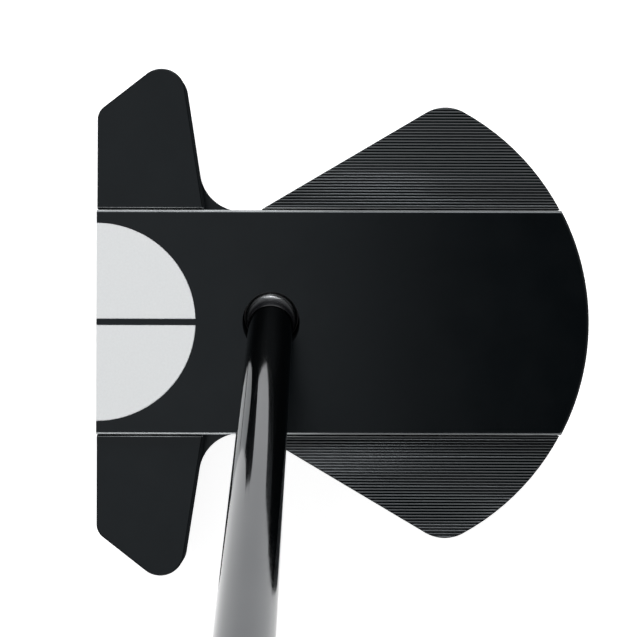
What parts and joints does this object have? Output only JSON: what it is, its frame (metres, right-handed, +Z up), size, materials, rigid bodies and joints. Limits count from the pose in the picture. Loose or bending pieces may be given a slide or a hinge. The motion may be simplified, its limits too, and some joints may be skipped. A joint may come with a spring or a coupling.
{
  "type": "mallet putter",
  "caption": "Centre-shafted mallet putter: milled head with wings, ribbed rear fans and a raised crown bridge with a split white alignment disc, tapered steel shaft, flat-fronted grip.",
  "frame": {"origin": "middle of the sole's flat contact face, under the centre of the head's round back edge", "axes": "+Z up at address, -Y the way the face looks, +X from the toe to the heel, towards the golfer"},
  "size_m": [0.3541, 0.1068, 0.8159],
  "materials": {
    "body_anodised": "satin black anodised, bead blasted before anodising",
    "bridge_anodised": "fine satin black anodised",
    "sole_anodised": "satin black anodised",
    "white_resin": "matt white filled resin",
    "insert_polymer": "matt cast polymer",
    "pad_rubber": "moulded rubber",
    "bonding_tape": "double-sided tape",
    "screw_steel": "black oxide steel",
    "weight_steel": "machined stainless steel",
    "socket_steel": "turned stainless steel",
    "shaft_black": "gloss black plated steel",
    "ferrule_black": "polished black plastic",
    "plug_plastic": "moulded plastic",
    "insert_aluminium": "turned aluminium",
    "grip_skin": "textured polyurethane skin",
    "grip_foam": "closed-cell foam"
  },
  "bodies": {
    "club": {"body_frame": "body_anodised", "crown_bridge": "bridge_anodised", "sole_plate": "sole_anodised", "alignment_inlay_toe": "white_resin", "alignment_inlay_heel": "white_resin", "face_insert": "insert_polymer", "face_insert_tape": "bonding_tape", "bridge_gasket": "pad_rubber", "shaft_socket": "socket_steel", "socket_bolt": "screw_steel", "shaft": "shaft_black", "shaft_tip_plug": "plug_plastic", "ferrule": "ferrule_black", "grip_tape": "bonding_tape", "grip_core": "grip_foam", "grip_sleeve": "grip_skin", "grip_end_cap": "grip_skin", "butt_insert": "insert_aluminium", "sole_screw_1": "screw_steel", "sole_screw_2": "screw_steel", "sole_screw_3": "screw_steel", "sole_screw_4": "screw_steel", "sole_screw_5": "screw_steel", "sole_screw_6": "screw_steel", "bridge_screw_1": "screw_steel", "bridge_screw_2": "screw_steel", "bridge_screw_3": "screw_steel", "bridge_screw_4": "screw_steel"},
    "toe_seal": {"toe_weight_seal": "pad_rubber"},
    "toe_weight": {"toe_weight": "weight_steel"},
    "heel_seal": {"heel_weight_seal": "pad_rubber"},
    "heel_weight": {"heel_weight": "weight_steel"},
    "butt_seal": {"counterweight_seal": "pad_rubber"},
    "counterweight": {"counterweight": "weight_steel"}
  },
  "joints": [
    {"name": "toe_weight_travel", "type": "slide", "parent": "club", "child": "toe_seal", "axis": [0, 0, -1], "range_m": [0, 0.005]},
    {"name": "toe_weight_turn", "type": "hinge", "parent": "toe_seal", "child": "toe_weight", "pos_m": [-0.04, -0.044, 0.005], "axis": [0, 0, -1], "range_deg": [0, 1440]},
    {"name": "heel_weight_travel", "type": "slide", "parent": "club", "child": "heel_seal", "axis": [0, 0, -1], "range_m": [0, 0.005]},
    {"name": "heel_weight_turn", "type": "hinge", "parent": "heel_seal", "child": "heel_weight", "pos_m": [0.04, -0.044, 0.005], "axis": [0, 0, -1], "range_deg": [0, 1440]},
    {"name": "counterweight_travel", "type": "slide", "parent": "club", "child": "butt_seal", "axis": [0.342, 0, 0.9397], "range_m": [0, 0.005]},
    {"name": "counterweight_turn", "type": "hinge", "parent": "butt_seal", "child": "counterweight", "pos_m": [0.28591, -0.0163, 0.81152], "axis": [0.342, 0, 0.9397], "range_deg": [0, 1440]}
  ],
  "couplings": [
    {"joint": "toe_weight_travel", "follows": "toe_weight_turn", "m_per_rad": 0.00019894},
    {"joint": "heel_weight_travel", "follows": "heel_weight_turn", "m_per_rad": 0.00019894},
    {"joint": "counterweight_travel", "follows": "counterweight_turn", "m_per_rad": 0.00019894}
  ]
}
